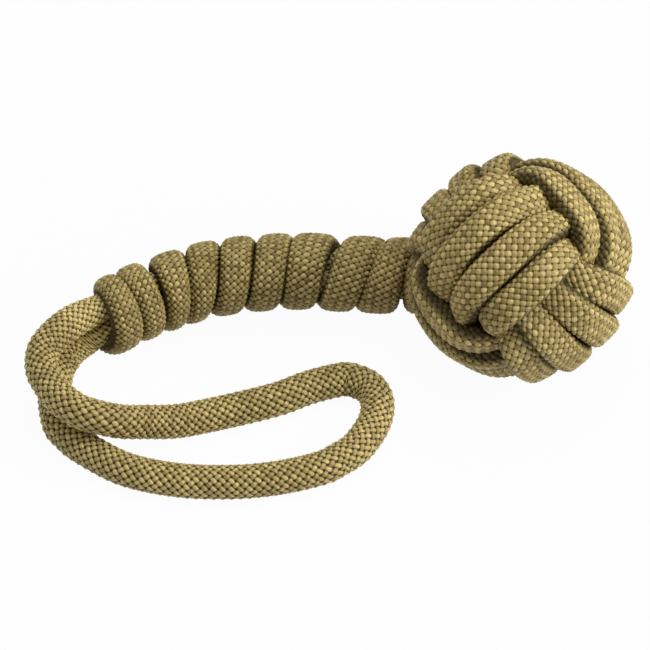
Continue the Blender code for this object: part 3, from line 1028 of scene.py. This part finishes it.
class FOB_OT_stage(bpy.types.Operator):
    """The table, the lamps, the sky and the camera"""

    bl_idname = "fob.stage"
    bl_label = "Stage"

    def execute(self, context):
        stage = context.scene.fob_stage
        up = np.array([0, math.sin(stage.elevation), math.cos(stage.elevation)])
        aim = BALL_MIDDLE + np.array([-AIM_LEFT, 0, 0]) - AIM_DOWN * up
        back = np.array([0, -math.cos(stage.elevation), math.sin(stage.elevation)])
        lens = bpy.data.cameras.new("camera")
        lens.sensor_width = 36
        lens.lens = lens.sensor_width * stage.distance / stage.view_width
        lens.clip_start = 0.01
        camera = bpy.data.objects.new("camera", lens)
        camera.location = aim + stage.distance * back
        camera.rotation_euler = (math.pi / 2 - stage.elevation, 0, 0)
        context.scene.collection.objects.link(camera)
        context.scene.camera = camera

        corners = TABLE_HALF * np.array([[-1, -1, 0], [1, -1, 0], [1, 1, 0], [-1, 1, 0]])
        table = bpy.data.objects.new("table", bpy.data.meshes.new("table"))
        table.data.from_pydata(corners.tolist(), [], [(0, 1, 2, 3)])
        context.scene.collection.objects.link(table)
        table.data.materials.append(white_table("white_table", stage))

        for name, (place, side) in LAMPS.items():
            soft_lamp(context, name + "_lamp", place, side, getattr(stage, name))
        world = bpy.data.worlds.new("sky")
        world.use_nodes = True
        sky = world.node_tree.nodes["Background"]
        sky.inputs["Color"].default_value = (1, 1, 1, 1)
        sky.inputs["Strength"].default_value = stage.sky
        context.scene.world = world
        context.scene.view_settings.view_transform = "Standard"
        return {"FINISHED"}


def soft_lamp(context, name, place, side, power):
    """A square area lamp that looks at the fob."""
    data = bpy.data.lights.new(name, "AREA")
    data.size = side
    data.energy = power
    lamp = bpy.data.objects.new(name, data)
    lamp.location = place
    lamp.rotation_euler = (-Vector(place)).to_track_quat("-Z", "Y").to_euler()
    context.scene.collection.objects.link(lamp)


def white_table(name, stage):
    """A white table that keeps a faint shadow, lifted to white for the rays that see it."""
    recipe = Recipe(name)
    recipe.shade(Base_Color=(*stage.floor, 1), Roughness=0.8)
    rays = recipe.add("ShaderNodeLightPath").outputs
    kinds = ("Is Camera Ray", "Is Glossy Ray", "Is Transmission Ray")
    camera, glossy, transmission = [Value(recipe, rays[kind]) for kind in kinds]
    share = camera.higher(glossy).higher(transmission) * stage.lift
    white = recipe.add("ShaderNodeEmission", {}, {"Color": (1, 1, 1, 1), "Strength": 1.0})
    shaders = {1: recipe.shader.outputs[0], 2: white.outputs[0]}
    mix = recipe.add("ShaderNodeMixShader", {}, {0: share, **shaders})
    recipe.feed(recipe.tree.nodes["Material Output"].inputs["Surface"], mix.outputs[0])
    return recipe.material


class FOB_PT_panel(bpy.types.Panel):
    """Every piece of the fob, and its sizes"""

    bl_label = "Key Fob"
    bl_space_type = "VIEW_3D"
    bl_region_type = "UI"
    bl_category = "Key Fob"

    def draw(self, context):
        for settings in ("fob_cord", "fob_fist", "fob_handle", "fob_stage"):
            box = self.layout.box()
            group = getattr(context.scene, settings)
            for key in group.__annotations__:
                box.prop(group, key)
        for operator in OPERATORS:
            self.layout.operator(operator.bl_idname)


SETTINGS = {
    "fob_cord": CordSettings,
    "fob_fist": FistSettings,
    "fob_handle": HandleSettings,
    "fob_stage": StageSettings,
}
OPERATORS = [FOB_OT_stage, FOB_OT_loop, FOB_OT_handle, FOB_OT_fist, FOB_OT_core_ball]


def register():
    for group in SETTINGS.values():
        bpy.utils.register_class(group)
    for operator in OPERATORS:
        bpy.utils.register_class(operator)
    bpy.utils.register_class(FOB_PT_panel)
    for key, group in SETTINGS.items():
        setattr(bpy.types.Scene, key, PointerProperty(type=group))


def unregister():
    for key in SETTINGS:
        delattr(bpy.types.Scene, key)
    for thing in [FOB_PT_panel, *OPERATORS, *SETTINGS.values()]:
        bpy.utils.unregister_class(thing)


def main():
    register()
    bpy.ops.fob.stage()
    bpy.ops.fob.loop()
    bpy.ops.fob.handle()
    bpy.ops.fob.fist()
    bpy.ops.fob.core_ball()


if __name__ == "__main__":
    main()
